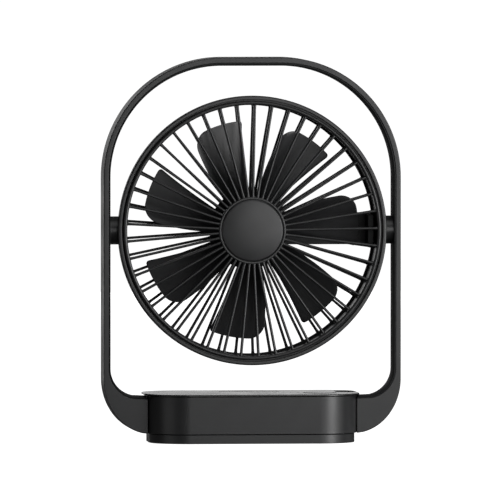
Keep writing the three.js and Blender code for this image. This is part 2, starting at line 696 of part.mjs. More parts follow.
function motor() {
  const mount = turned([[3.3, 0.8], [5, 0.8], [5, 9.6], [10.4, 9.6], [10.4, 10.7], [3.3, 10.7]]);
  const screwHoles = motorScrewPlaces().map((at) => rod(SCREW_HOLE, 5, 20, { sides: SMALL, at }));
  addPiece(head, "motor_mount", cutBy(mount, ...screwHoles), steel);
  const poles = 9;
  const core = new THREE.Shape();
  const spread = (360 / poles) * DEG;
  for (let i = 0; i < poles; i += 1) {
    const middle = i * spread;
    const corners = [
      [6.6, -0.5],
      [6.6, -0.2],
      [9.6, -0.14],
      [9.6, -0.4],
      [11, -0.4],
      [11, 0.4],
      [9.6, 0.4],
      [9.6, 0.14],
      [6.6, 0.2],
    ];
    corners.forEach(([radius, share]) => {
      const angle = middle + share * spread;
      const draw = i === 0 && share === -0.5 ? "moveTo" : "lineTo";
      core[draw](radius * Math.cos(angle), radius * Math.sin(angle));
    });
  }
  const stator = slice(core, 5.2).translate([0, 4.6, 0]).subtract(rod(5.2, 0, 10));
  addPiece(head, "motor_stator", stator, copper);
  addPiece(head, "motor_board", tube(5.3, 12.5, 8.4, 9.3), boardGreen);
  addPiece(head, "bearing_front", tube(1.6, 3.2, 1, 4), steel);
  addPiece(head, "bearing_rear", tube(1.6, 3.2, 7.4, 10.4), steel);
  const screw = [[0, 9.8], [1, 9.8], [1, 13.8], [1.8, 13.8], [1.8, 14.6], [1.3, 15], [0, 15]];
  motorScrewPlaces().forEach((at, i) => {
    addPiece(head, "motor_screw_" + (i + 1), turned(screw, { sides: SMALL, at }), steel);
  });
}

// Round lead from the right pivot along the duct to the motor's board.
function motorLead() {
  const turns = [
    [79, 0],
    [LEAD_X + 0.4, 0],
    [LEAD_X, 0.4],
    [LEAD_X, 15.3],
    [LEAD_X - 1, 16.3],
    [25, 16.3],
    [22, 15],
    [15, 15],
    [LEAD_HOLE_X, 14],
    [LEAD_HOLE_X, 9.7],
  ];
  const radius = 0.7;
  const rings = turns.map(([x, y], i) => {
    const [ax, ay] = turns[Math.max(i - 1, 0)];
    const [bx, by] = turns[Math.min(i + 1, turns.length - 1)];
    const along = new THREE.Vector3(bx - ax, by - ay, 0).normalize();
    const side = new THREE.Vector3(-along.y, along.x, 0);
    return Array.from({ length: 8 }, (_, k) => {
      const angle = (k / 8) * 2 * Math.PI;
      const point = new THREE.Vector3(x, y, radius * Math.sin(angle));
      return point.addScaledVector(side, radius * Math.cos(angle));
    });
  });
  addPiece(head, "motor_lead", loft(rings), rubberBlack);
}

function pivotBosses() {
  const clear = turned(
    [
      [0, -40],
      [GUARD_RADIUS + GAP, -40],
      [GUARD_RADIUS + GAP, -6],
      [GUARD_REAR_RADIUS + GAP, GUARD_BACK],
      [0, GUARD_BACK],
    ],
    { sides: RING_SIDES },
  );
  const outer = HOOP_HALF_WIDTH - BAND_THICKNESS - WASHER_SPACE;
  [["left", -1], ["right", 1]].forEach(([side, sign]) => {
    const boss = [
      [0, sign * 70],
      [BOSS_RADIUS, sign * 70],
      [BOSS_RADIUS, sign * (outer - 0.4)],
      [BOSS_RADIUS - 0.4, sign * outer],
      [0, sign * outer],
    ];
    const bore = rod(PIN_RADIUS + GAP, sign * 60, sign * 90, { axis: "x" });
    const made = cutBy(turned(boss, { axis: "x", sides: 24 }), clear, bore);
    addPiece(head, "pivot_boss_" + side, made, satinBlack);
  });
}

// ---- Impeller ----------------------------------------------------------------------------

// How much of the chord a rounded tip corner takes away at a radius.
function cornerLoss(radius, corner) {
  const rise = Math.max(0, radius - (BLADE_TIP - corner));
  return corner - Math.sqrt(Math.max(0, corner ** 2 - rise ** 2));
}

function blade() {
  const chordSteps = 3;
  const radii = [0, 0.5].map((part) => BLADE_ROOT + part * (BLADE_TIP - BLADE_ROOT));
  const tipPlaces = [1, 0.5, 0.15, 0].map((part) => BLADE_TIP - part * TRAILING_CORNER);
  const rings = [...radii, ...tipPlaces].map((radius) => {
    const part = (radius - BLADE_ROOT) / (BLADE_TIP - BLADE_ROOT);
    const start = BLADE.rootTurn * (1 - part);
    const span = BLADE.rootSpan + (BLADE.tipSpan - BLADE.rootSpan) * part;
    const leading = start * DEG + cornerLoss(radius, LEADING_CORNER) / radius;
    const trailing = (start + span) * DEG - cornerLoss(radius, TRAILING_CORNER) / radius;
    const point = (share, side) => {
      const angle = leading + (trailing - leading) * share;
      const chord = (angle / DEG - start) / span;
      const slope = BLADE.back + (BLADE.front - BLADE.back) * chord;
      const bow = BLADE.camber * Math.sin(Math.PI * chord);
      const y = slope + bow + (side * BLADE.thickness) / 2;
      return new THREE.Vector3(radius * Math.cos(angle), y, radius * Math.sin(angle));
    };
    const shares = Array.from({ length: chordSteps + 1 }, (_, i) => i / chordSteps);
    return [...shares.map((s) => point(s, -1)), ...shares.reverse().map((s) => point(s, 1))];
  });
  return loft(rings);
}

function impeller() {
  const cup = turned(
    [
      [1.7, -3.4],
      [IMPELLER_HUB_RADIUS - 2, -3.4],
      [IMPELLER_HUB_RADIUS, -1.8],
      [IMPELLER_HUB_RADIUS, 9],
      [14.5, 9],
      [14.5, -1.5],
      [1.7, -1.5],
    ],
    { sides: 28 },
  );
  const blades = withCopies(cup, blade(), BLADE_COUNT, BLADE.firstAngle);
  addPiece(head, "impeller", cutBy(blades, rod(14.5, -1.5, 20, { sides: 28 })), bladeBlack);
  addPiece(head, "motor_shaft", rod(1.5, -5.2, 12), steel);
  const cupProfile = [[1.6, -1.2], [14.2, -1.2], [14.2, 8], [13.3, 8], [13.3, 0], [1.6, 0]];
  addPiece(head, "rotor_cup", turned(cupProfile), steel);
  addPiece(head, "rotor_magnet", tube(11.5, 13, 1.8, 7.8), rubberBlack);
  addPiece(head, "impeller_nut", rod(3, -4.8, -3.7, { sides: 6 }).subtract(rod(1.6, -6, 0)), steel);
}

baseBody();
topCover();
bottomPlate();
baseFasteners();
indicators();
powerButton();
electronics();
hoopBand();
hoopStrip();
pivots();
fanLead();
guardDrum();
frontGrille();
hubCap();
rearGrille();
cableDuct();
motorCap();
motor();
motorLead();
pivotBosses();
impeller();

export default root;
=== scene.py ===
import json
import math

import bmesh
import bpy
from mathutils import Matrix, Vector


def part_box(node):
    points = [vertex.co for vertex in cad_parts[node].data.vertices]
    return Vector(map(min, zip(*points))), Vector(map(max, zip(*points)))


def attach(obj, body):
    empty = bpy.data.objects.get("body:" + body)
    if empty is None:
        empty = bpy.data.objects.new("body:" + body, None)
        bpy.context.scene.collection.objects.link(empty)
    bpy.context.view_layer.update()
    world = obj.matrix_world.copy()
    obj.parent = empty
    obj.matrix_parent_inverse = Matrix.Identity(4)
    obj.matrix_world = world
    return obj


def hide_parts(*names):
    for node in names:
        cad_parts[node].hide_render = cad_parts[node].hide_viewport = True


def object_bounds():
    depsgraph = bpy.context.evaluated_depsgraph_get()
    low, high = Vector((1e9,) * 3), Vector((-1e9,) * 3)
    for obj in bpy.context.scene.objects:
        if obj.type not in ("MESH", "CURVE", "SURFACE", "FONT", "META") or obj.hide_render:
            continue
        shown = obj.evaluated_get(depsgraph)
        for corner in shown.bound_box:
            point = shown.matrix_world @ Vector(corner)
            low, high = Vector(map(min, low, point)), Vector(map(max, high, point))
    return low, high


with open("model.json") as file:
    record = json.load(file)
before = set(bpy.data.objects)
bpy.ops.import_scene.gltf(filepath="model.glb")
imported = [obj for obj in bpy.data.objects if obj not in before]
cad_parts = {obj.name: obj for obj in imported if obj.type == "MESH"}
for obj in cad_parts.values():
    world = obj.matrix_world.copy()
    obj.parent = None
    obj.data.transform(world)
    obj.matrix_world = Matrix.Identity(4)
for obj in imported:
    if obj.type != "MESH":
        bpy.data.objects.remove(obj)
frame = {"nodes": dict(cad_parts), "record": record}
cad_low, cad_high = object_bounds()

# Lengths below are millimetres until a mesh is made. Angles are degrees.
MM = 0.001


def node_box(name):
    low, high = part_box(name)
    return [c / MM for c in low], [c / MM for c in high]


def mid(low, high, axis):
    return (low[axis] + high[axis]) / 2


def half_size(low, high, axis):
    return (high[axis] - low[axis]) / 2


def arc(cx, cy, radius, start, end, steps):
    """Points on an arc, both ends included."""
    points = []
    for i in range(steps + 1):
        angle = math.radians(start + (end - start) * i / steps)
        points.append((cx + radius * math.cos(angle), cy + radius * math.sin(angle)))
    return points


def circle(cx, cy, radius, count):
    """A loop of points on a circle."""
    return arc(cx, cy, radius, 0, 360 - 360 / count, count - 1)


def soften(corners, closed=False, steps=5):
    """A polyline of (u, v, radius) corners with its corners rounded."""
    out = []
    count = len(corners)
    for i, (u, v, radius) in enumerate(corners):
        here = Vector((u, v))
        if radius <= 0 or (not closed and i in (0, count - 1)):
            out.append((u, v))
            continue
        before = Vector(corners[i - 1][:2]) - here
        after = Vector(corners[(i + 1) % count][:2]) - here
        half = before.angle(after) / 2
        reach = min(radius / math.tan(half), before.length * 0.499, after.length * 0.499)
        turn_radius = reach * math.tan(half)
        middle = (before.normalized() + after.normalized()).normalized()
        centre = here + middle * (turn_radius / math.sin(half))
        a = here + before.normalized() * reach - centre
        b = here + after.normalized() * reach - centre
        sweep = a.angle(b)
        for k in range(steps + 1):
            t = k / steps
            point = centre + (a * math.sin((1 - t) * sweep) + b * math.sin(t * sweep)) / math.sin(sweep)
            out.append((point.x, point.y))
    return out


def oblong(low_u, low_v, high_u, high_v, radius, steps=3):
    """A rectangle with rounded corners, as a closed loop."""
    corners = [(low_u, low_v), (high_u, low_v), (high_u, high_v), (low_u, high_v)]
    return soften([(u, v, radius) for u, v in corners], closed=True, steps=steps)


class Skin:
    """Collects the surfaces of one piece."""

    def __init__(self):
        self.points = []
        self.faces = []

    def ring(self, points):
        first = len(self.points)
        self.points.extend(tuple(p) for p in points)
        return list(range(first, first + len(points)))

    def loft(self, rings, cap_first=False, cap_last=False, around=True, along=False):
        rows = [self.ring(points) for points in rings]
        count = len(rows[0])
        pairs = list(zip(rows, rows[1:])) + ([(rows[-1], rows[0])] if along else [])
        for a, b in pairs:
            for j in range(count if around else count - 1):
                k = (j + 1) % count
                self.faces.append((a[j], a[k], b[k], b[j]))
        if cap_first:
            self.faces.append(tuple(reversed(rows[0])))
        if cap_last:
            self.faces.append(tuple(rows[-1]))

    def lathe(self, profile, axis="y", centre=(0, 0, 0), sides=160):
        """A closed profile of (radius, place along the axis), or one that starts and ends on the axis."""
        rings = []
        for i in range(sides):
            angle = 2 * math.pi * i / sides
            cos, sin = math.cos(angle), math.sin(angle)
            ring = []
            for radius, along in profile:
                p = {
                    "x": (along, radius * cos, radius * sin),
                    "y": (radius * cos, along, radius * sin),
                    "z": (radius * cos, radius * sin, along),
                }[axis]
                ring.append([c + o for c, o in zip(p, centre)])
            rings.append(ring)
        self.loft(rings, around=profile[0][0] > 0, along=True)

    def fill(self, outer, holes=()):
        """A flat face with holes. Loops are lists of points."""
        shape = bmesh.new()
        edges = []
        for loop in (outer, *holes):
            made = [shape.verts.new(p) for p in loop]
            edges += [shape.edges.new((made[i - 1], made[i])) for i in range(len(made))]
        bmesh.ops.triangle_fill(shape, use_beauty=True, use_dissolve=False, edges=edges)
        shape.verts.index_update()
        first = len(self.points)
        self.points.extend(tuple(v.co) for v in shape.verts)
        self.faces.extend(tuple(first + v.index for v in f.verts) for f in shape.faces)
        shape.free()

    def mesh(self, name):
        made = bpy.data.meshes.new(name)
        made.from_pydata([[c * MM for c in p] for p in self.points], [], self.faces)
        work = bmesh.new()
        work.from_mesh(made)
        bmesh.ops.remove_doubles(work, verts=work.verts, dist=1e-6)
        bmesh.ops.dissolve_degenerate(work, edges=work.edges, dist=1e-7)
        bmesh.ops.recalc_face_normals(work, faces=work.faces)
        work.to_mesh(made)
        work.free()
        return made


SHARP_ANGLE = 38  # faces that meet at more than this keep a hard edge


def piece(name, skin, material, body, replaces, mesh=None):
    """One piece of the fan, on its body, in place of the CAD nodes it redraws."""
    made = mesh or skin.mesh(name)
    made.materials.clear()
    made.materials.append(material)
    made.polygons.foreach_set("use_smooth", [True] * len(made.polygons))
    made.set_sharp_from_angle(angle=math.radians(SHARP_ANGLE))
    thing = bpy.data.objects.new(name, made)
    bpy.context.scene.collection.objects.link(thing)
    weigh = thing.modifiers.new("weighted_normals", "WEIGHTED_NORMAL")
    weigh.keep_sharp = True
    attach(thing, body)
    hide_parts(*replaces)


# ---- Camera ------------------------------------------------------------------------------

# The camera's lengths are metres.
VIEW_AZIMUTH = -5.5
VIEW_DISTANCE = 7.4
VIEW_HEIGHT = 0.3641
FRAME_WIDTH = 0.2785  # what the picture takes in, side to side, at the fan
AIM_DROP = 0.00017  # the camera aims this far below the fan's middle
SIDE_SHIFT = -0.0015  # share of the picture's width
SENSOR_WIDTH = 36
FAR_CLIP = 200

aim = Vector((0, 0, (cad_low.z + cad_high.z) / 2 - AIM_DROP))
lens = bpy.data.cameras.new("camera")
camera = bpy.data.objects.new("camera", lens)
bpy.context.scene.collection.objects.link(camera)
turn = math.radians(VIEW_AZIMUTH)
camera.location = (VIEW_DISTANCE * math.sin(turn), -VIEW_DISTANCE * math.cos(turn), VIEW_HEIGHT)
line = aim - camera.location
camera.rotation_euler = line.to_track_quat("-Z", "Y").to_euler()
lens.sensor_width = SENSOR_WIDTH
lens.lens = SENSOR_WIDTH * line.length / FRAME_WIDTH
lens.clip_end = FAR_CLIP
lens.shift_x = SIDE_SHIFT
bpy.context.scene.camera = camera
bpy.context.scene.view_settings.view_transform = "Standard"

# ---- Materials ---------------------------------------------------------------------------


def shader(name):
    material = bpy.data.materials.new(name)
    material.use_nodes = True
    return material, material.node_tree, material.node_tree.nodes["Principled BSDF"]


def noise(tree, size_mm, detail=3.0, seed=0.0):
    """Noise with a pattern about size_mm across, in the object's own frame."""
    place = tree.nodes.new("ShaderNodeTexCoord")
    made = tree.nodes.new("ShaderNodeTexNoise")
    made.noise_dimensions = "4D"
    made.inputs["W"].default_value = seed
    made.inputs["Scale"].default_value = 1 / (size_mm * MM)
    made.inputs["Detail"].default_value = detail
    tree.links.new(place.outputs["Object"], made.inputs["Vector"])
    return made.outputs["Fac"]


def spread(tree, source, low, high, source_low=0.3, source_high=0.7):
    made = tree.nodes.new("ShaderNodeMapRange")
    made.inputs["From Min"].default_value = source_low
    made.inputs["From Max"].default_value = source_high
    made.inputs["To Min"].default_value = low
    made.inputs["To Max"].default_value = high
    tree.links.new(source, made.inputs["Value"])
    return made.outputs["Result"]


def tint(tree, source, dark, light):
    made = tree.nodes.new("ShaderNodeMix")
    made.data_type = "RGBA"
    made.inputs[6].default_value = (*dark, 1)
    made.inputs[7].default_value = (*light, 1)
    tree.links.new(spread(tree, source, 0, 1), made.inputs[0])
    return made.outputs[2]


def bump(tree, bsdf, layers):
    """Layers of (height, depth in mm): fine relief on the surface."""
    normal = None
    for height, depth in layers:
        made = tree.nodes.new("ShaderNodeBump")
        made.inputs["Distance"].default_value = depth * MM
        made.inputs["Strength"].default_value = 1.0
        tree.links.new(height, made.inputs["Height"])
        if normal:
            tree.links.new(normal, made.inputs["Normal"])
        normal = made.outputs["Normal"]
    tree.links.new(normal, bsdf.inputs["Normal"])


FLOW_SIZE = 9  # flow marks in the shade of moulded plastic
FLOW_DARK, FLOW_LIGHT = 0.88, 1.12
SHEEN_SIZE = 14  # patches that differ a little in polish
SHEEN_SPREAD = 0.035
WAVE_SIZE, WAVE_DEPTH = 22, 0.02  # slow unevenness of a moulded face


def moulded(name, shade, roughness, grain=0.35, depth=0.004, specular=0.5, seed=1.0):
    """Satin moulded plastic: fine spark-eroded grain, faint flow marks and handling sheen."""
    material, tree, bsdf = shader(name)
    dark = [c * FLOW_DARK for c in shade]
    light = [c * FLOW_LIGHT for c in shade]
    tree.links.new(tint(tree, noise(tree, FLOW_SIZE, 4, seed), dark, light), bsdf.inputs["Base Color"])
    patches = noise(tree, SHEEN_SIZE, 5, seed + 3)
    sheen = spread(tree, patches, roughness - SHEEN_SPREAD, roughness + SHEEN_SPREAD)
    tree.links.new(sheen, bsdf.inputs["Roughness"])
    waves = (noise(tree, WAVE_SIZE, 1, seed + 7), WAVE_DEPTH)
    bump(tree, bsdf, [(noise(tree, grain, 2, seed + 5), depth), waves])
    bsdf.inputs["Specular IOR Level"].default_value = specular
    return material


STAIN_SIZE, STAIN_DARK = 2.5, 0.85
SCUFF_SIZE = 0.6
PIT_SIZE, PIT_DEPTH = 0.25, 0.003


def metal(name, colour, roughness, seed=2.0):
    """Drawn or turned metal: dull stains, scuffs and fine pits."""
    material, tree, bsdf = shader(name)
    dark = [c * STAIN_DARK for c in colour]
    tree.links.new(tint(tree, noise(tree, STAIN_SIZE, 4, seed), dark, colour), bsdf.inputs["Base Color"])
    sheen = spread(tree, noise(tree, SCUFF_SIZE, 5, seed + 1), roughness - 0.08, roughness + 0.1)
    tree.links.new(sheen, bsdf.inputs["Roughness"])
    bump(tree, bsdf, [(noise(tree, PIT_SIZE, 2, seed + 2), PIT_DEPTH)])
    bsdf.inputs["Metallic"].default_value = 1.0
    return material


def lens_plastic(name, shade):
    """Smooth clear or smoked plastic over a dark ground."""
    material, tree, bsdf = shader(name)
    light = [c * 1.3 for c in shade]
    tree.links.new(tint(tree, noise(tree, 0.7, 3, 4), shade, light), bsdf.inputs["Base Color"])
    tree.links.new(spread(tree, noise(tree, 1.5, 3, 5), 0.18, 0.3), bsdf.inputs["Roughness"])
    bump(tree, bsdf, [(noise(tree, 0.4, 2, 6), 0.001)])
    return material


BLACK = (0.0125, 0.0128, 0.0135)
hoop_black = moulded("hoop_black", BLACK, 0.34, seed=1)
strip_black = moulded("strip_black", BLACK, 0.55, specular=0.3, seed=5)
shell_black = moulded("shell_black", BLACK, 0.36, grain=0.5, depth=0.006, seed=11)
deck_black = moulded("deck_black", BLACK, 0.24, grain=0.3, depth=0.002, seed=21)
guard_black = moulded("guard_black", BLACK, 0.32, seed=31)
rib_black = moulded("rib_black", (0.011, 0.0112, 0.0118), 0.33, seed=41)
blade_black = moulded("blade_black", (0.019, 0.0193, 0.0202), 0.4, seed=51)
rear_black = moulded("rear_black", (0.006, 0.0061, 0.0065), 0.55, specular=0.3, seed=45)
cap_black = moulded("cap_black", (0.013, 0.0133, 0.014), 0.34, grain=0.3, depth=0.003, seed=61)
button_black = moulded("button_black", BLACK, 0.24, grain=0.3, depth=0.002, seed=71)
window_black = lens_plastic("window_black", (0.006, 0.006, 0.007))
lens_grey = lens_plastic("lens_grey", (0.16, 0.17, 0.19))
rubber = moulded("rubber", (0.009, 0.009, 0.009), 0.8, grain=0.25, depth=0.01, seed=81)
lead_jacket = moulded("lead_jacket", (0.01, 0.01, 0.01), 0.5, grain=0.4, seed=91)
steel = metal("steel", (0.56, 0.57, 0.59), 0.34)
copper = metal("copper", (0.62, 0.27, 0.13), 0.36)
magnet = moulded("magnet", (0.05, 0.05, 0.055), 0.6, grain=0.2, depth=0.01, seed=101)
board_green = moulded("board_green", (0.012, 0.09, 0.035), 0.4, grain=1.2, depth=0.01, seed=111)
cell_blue = moulded("cell_blue", (0.02, 0.09, 0.25), 0.3, grain=3, depth=0.01, seed=121)

CARRIED = {
    "base_shell": shell_black,
    "deck": deck_black,
    "hoop": hoop_black,
    "guard": guard_black,
    "grille": rib_black,
    "blades": blade_black,
    "hub_cap": cap_black,
    "window": window_black,
    "lens": lens_grey,
    "rubber": rubber,
    "lead_jacket": lead_jacket,
    "steel": steel,
    "copper": copper,
    "magnet": magnet,
    "board": board_green,
    "cell_wrap": cell_blue,
    "switch": rubber,
}
# The CAD's own pieces that stay in the picture take these too.
for part in frame["record"]["subparts"]:
    mesh = frame["nodes"][part["node"]].data
    mesh.materials.clear()
    mesh.materials.append(CARRIED[part["material_slot"]])

# ---- Base --------------------------------------------------------------------------------

_, rim_high = node_box("base_top_cover")
shell_low, shell_high = node_box("base_body")
plate_low, plate_high = node_box("base_bottom_plate")
FRONT_CORNER = 24.2  # plan radii of the rim
REAR_CORNER = 18
CORNER_STEPS = 20


def base_outline(inset, z):
    """The base in plan, moved inwards from the rim, as a loop of points at a height."""
    x, y = rim_high[0] - inset, rim_high[1] - inset
    front, rear = FRONT_CORNER - inset, REAR_CORNER - inset
    loop = arc(x - front, -y + front, front, -90, 0, CORNER_STEPS)
    loop += arc(x - rear, y - rear, rear, 0, 90, CORNER_STEPS)
    loop += arc(-x + rear, y - rear, rear, 90, 180, CORNER_STEPS)
    loop += arc(-x + front, -y + front, front, 180, 270, CORNER_STEPS)
    return [(px, py, z) for px, py in loop]


def wall_x(y, inset):
    """How far to the right the base reaches at a depth y."""
    half_x, half_y = rim_high[0] - inset, rim_high[1] - inset
    front, rear = FRONT_CORNER - inset, REAR_CORNER - inset
    if y < front - half_y:
        return half_x - front + math.sqrt(max(0, front**2 - (y - front + half_y) ** 2))
    if y > half_y - rear:
        return half_x - rear + math.sqrt(max(0, rear**2 - (y - half_y + rear) ** 2))
    return half_x


def rounded_loop(cx, cy, half_x, half_y, radius, z, steps=8):
    loop = arc(cx + half_x - radius, cy - half_y + radius, radius, -90, 0, steps)
    loop += arc(cx + half_x - radius, cy + half_y - radius, radius, 0, 90, steps)
    loop += arc(cx - half_x + radius, cy + half_y - radius, radius, 90, 180, steps)
    loop += arc(cx - half_x + radius, cy - half_y + radius, radius, 180, 270, steps)
    return [(px, py, z) for px, py in loop]


def cut(thing, tool_skin):
    """Takes a solid out of a piece, for good."""
    tool = bpy.data.objects.new("tool", tool_skin.mesh("tool"))
    bpy.context.scene.collection.objects.link(tool)
    made = bpy.data.objects.new("work", thing)
    bpy.context.scene.collection.objects.link(made)
    step = made.modifiers.new("cut", "BOOLEAN")
    step.operation = "DIFFERENCE"
    step.solver = "EXACT"
    step.object = tool
    bpy.context.view_layer.update()
    depsgraph = bpy.context.evaluated_depsgraph_get()
    result = bpy.data.meshes.new_from_object(made.evaluated_get(depsgraph))
    bpy.data.objects.remove(tool)
    bpy.data.objects.remove(made)
    return result


BODY_INSET = rim_high[0] - shell_high[0]
PLATE_INSET = rim_high[0] - plate_high[0]
RETURN = 4  # how far a wall's ends turn in, under the pieces that cover them

shell = Skin()
profile = soften(
    [
        (BODY_INSET + RETURN, shell_low[2], 0),
        (BODY_INSET, shell_low[2], 0.3),
        (BODY_INSET, shell_high[2], 0.12),
        (BODY_INSET + RETURN, shell_high[2], 0),
    ],
    steps=4,
)
shell.loft([base_outline(inset, z) for inset, z in profile], cap_first=True, cap_last=True)
usb_low, usb_high = node_box("usb_socket")
usb_x, usb_z = mid(usb_low, usb_high, 0), mid(usb_low, usb_high, 2)
usb_half_x, usb_half_z = half_size(usb_low, usb_high, 0), half_size(usb_low, usb_high, 2)
USB_GAP = 0.3  # between the socket and the shell
USB_CHAMFER = 0.5
OVERCUT = 0.3  # past the shell's face
RECESS_START = 15  # inside the base
SOCKET_SHEET = 0.4
PLUG_TONGUE = (-3, -0.35, 3, 0.35, 0.15)


def usb_loop(grow, y):
    """The stadium outline of the charging socket, grown by a clearance."""
    radius = usb_half_z + grow - 0.05  # a hair under half the height
    loop = rounded_loop(usb_x, usb_z, usb_half_x + grow, usb_half_z + grow, radius, 0)
    return [(px, y, pz) for px, pz, _ in loop]


recess = Skin()
recess.loft(
    [
        usb_loop(USB_GAP, RECESS_START),
        usb_loop(USB_GAP, shell_high[1] - USB_CHAMFER),
        usb_loop(USB_GAP + USB_CHAMFER + OVERCUT, shell_high[1] + OVERCUT),
    ],
    cap_first=True,
    cap_last=True,
)
shell_mesh = cut(shell.mesh("shell"), recess)
piece("base_shell", None, shell_black, "stand", ["base_body"], mesh=shell_mesh)

socket = Skin()
mouth = usb_high[1]
socket.loft(
    [
        usb_loop(0, usb_low[1]),
        usb_loop(0, mouth - 0.15),
        usb_loop(-0.08, mouth),
        usb_loop(-0.3, mouth),
        usb_loop(-SOCKET_SHEET, mouth - 0.2),
        usb_loop(-SOCKET_SHEET, usb_low[1] + 1),
    ],
    cap_first=True,
    cap_last=True,
)
tongue = oblong(*PLUG_TONGUE)
rings = [[(usb_x + u, y, usb_z + v) for u, v in tongue] for y in (usb_low[1] + 0.8, mouth - 0.9)]
socket.loft(rings, cap_last=True)
piece("charging_socket", socket, steel, "stand", ["usb_socket"])

WELL_RADIUS = 2.6  # the screws' holes in the bottom plate
WELL_FLARE = 0.25
WELL_TOP = 2.4

plate = Skin()
profile = soften(
    [
        (PLATE_INSET + RETURN, plate_low[2], 0),
        (PLATE_INSET, plate_low[2], 0.35),
        (PLATE_INSET, plate_high[2], 0.2),
        (PLATE_INSET + RETURN, plate_high[2], 0),
    ],
    steps=4,
)
plate.loft([base_outline(inset, z) for inset, z in profile])
plate.fill(base_outline(PLATE_INSET + RETURN, plate_high[2]))
well = soften(
    [
        (WELL_RADIUS + WELL_FLARE, plate_low[2], 0),
        (WELL_RADIUS, plate_low[2], 0.12),
        (WELL_RADIUS, WELL_TOP, 0),
    ],
    steps=3,
)
holes = []
screws = ["base_screw_1", "base_screw_2", "base_screw_3", "base_screw_4"]
for name in screws + ["hoop_screw_left", "hoop_screw_right"]:
    low, high = node_box(name)
    cx, cy = mid(low, high, 0), mid(low, high, 1)
    rings = [[(px, py, z) for px, py in circle(cx, cy, r, 24)] for r, z in well]
    plate.loft(rings, cap_last=True)
    holes.append(rings[0])
plate.fill(base_outline(PLATE_INSET + RETURN, plate_low[2]), holes)
piece("base_plate", plate, shell_black, "stand", ["base_bottom_plate"])

for i in range(1, 5):
    low, high = node_box(f"rubber_foot_{i}")
    radius = half_size(low, high, 0)
    foot = Skin()
    section = soften([(0, low[2], 0), (radius, low[2], 0.35), (radius, high[2], 0.1), (0, high[2], 0)])
    foot.lathe(section, "z", (mid(low, high, 0), mid(low, high, 1), 0), 48)
    piece(f"foot_{i}", foot, rubber, "stand", [f"rubber_foot_{i}"])

# Top cover: a rim that overhangs the body, and a deck with its openings
button_low, button_high = node_box("power_button")
button_x, button_y = mid(button_low, button_high, 0), mid(button_low, button_high, 1)
BUTTON_RADIUS = half_size(button_low, button_high, 0)
window_low, window_high = node_box("indicator_window")
DECK_TOP = rim_high[2]
RIM_LOW = shell_high[2] + 0.4  # a shadow line above the shell
RIM_EDGE = 0.75
RIM_RETURN = BODY_INSET + 2.5
DISH = {"x": 53.2, "y": 8.5, "half_x": 5.2, "half_y": 8.5, "corner": 3, "depth": 0.8}
BUTTON_GAP = 0.3
BUTTON_WELL = 1.4
LENS_GAP = 0.05
LENS_WELL = 0.6
WINDOW_GAP = 0.15
WINDOW_CORNER = 1.7

cover = Skin()
profile = soften(
    [
        (RIM_RETURN, RIM_LOW, 0),
        (0, RIM_LOW, 0.15),
        (0, DECK_TOP, RIM_EDGE),
        (RIM_RETURN, DECK_TOP, 0),
    ],
    steps=6,
)
rim_loops = [base_outline(inset, z) for inset, z in profile]
cover.loft(rim_loops)
cover.fill(rim_loops[0])
holes = []


def opening(loop_at, edge, floor):
    """A well in the deck with a rounded edge. loop_at(grow, z) gives its outline."""
    section = soften([(edge + 0.3, DECK_TOP, 0), (0, DECK_TOP, edge), (0, floor, 0)], steps=4)
    rings = [loop_at(grow, z) for grow, z in section]
    cover.loft(rings, cap_last=True)
    holes.append(rings[0])


def circle_at(cx, cy, radius, count):
    return lambda grow, z: [(px, py, z) for px, py in circle(cx, cy, radius + grow, count)]


opening(circle_at(button_x, button_y, BUTTON_RADIUS + BUTTON_GAP, 72), 0.18, DECK_TOP - BUTTON_WELL)
for i in range(1, 6):
    low, high = node_box(f"indicator_lens_{i}")
    spot = circle_at(mid(low, high, 0), mid(low, high, 1), half_size(low, high, 1) + LENS_GAP, 20)
    opening(spot, 0.1, DECK_TOP - LENS_WELL)
win_x, win_y = mid(window_low, window_high, 0), mid(window_low, window_high, 1)
win_half_x, win_half_y = half_size(window_low, window_high, 0), half_size(window_low, window_high, 1)


def window_loop(grow, z, corner):
    return rounded_loop(win_x, win_y, win_half_x + grow, win_half_y + grow, corner, z)


opening(
    lambda grow, z: window_loop(WINDOW_GAP + grow, z, WINDOW_CORNER + WINDOW_GAP + grow),
    0.12,
    window_low[2],
)
dish_floor = DECK_TOP - DISH["depth"]
section = soften([(0.5, DECK_TOP, 0), (0, DECK_TOP, 0.3), (-0.8, dish_floor, 0.8), (-2.4, dish_floor, 0)])
rings = []
for grow, z in section:
    half_x, half_y, corner = (DISH[key] + grow for key in ("half_x", "half_y", "corner"))
    rings.append(rounded_loop(DISH["x"], DISH["y"], half_x, half_y, corner, z))
cover.loft(rings, cap_last=True)
holes.append(rings[0])
cover.fill(rim_loops[-1], holes)
piece("top_cover", cover, deck_black, "stand", ["base_top_cover"])

pane = Skin()
section = soften([(-2, window_high[2], 0), (0, window_high[2], 0.15), (0, window_low[2], 0)], steps=3)
rings = [window_loop(grow, z, max(0.2, WINDOW_CORNER + grow)) for grow, z in section[1:]]
pane.loft(rings, cap_first=True)
piece("status_window", pane, window_black, "stand", ["indicator_window"])

for i in range(1, 6):
    low, high = node_box(f"indicator_lens_{i}")
    radius = half_size(low, high, 1)
    spot = Skin()
    section = soften(
        [(0, low[2], 0), (radius, low[2], 0), (radius, high[2] - 0.1, 0.2), (0, high[2], 0)], steps=4
    )
    spot.lathe(section, "z", (mid(low, high, 0), mid(low, high, 1), 0), 24)
    piece(f"light_{i}", spot, lens_grey, "stand", [f"indicator_lens_{i}"])

BUTTON_RIM = 1.3  # flat border around the dished face
BUTTON_DISH = 0.1
STEM_RADIUS = 1.8
STEM_LENGTH = 0.7

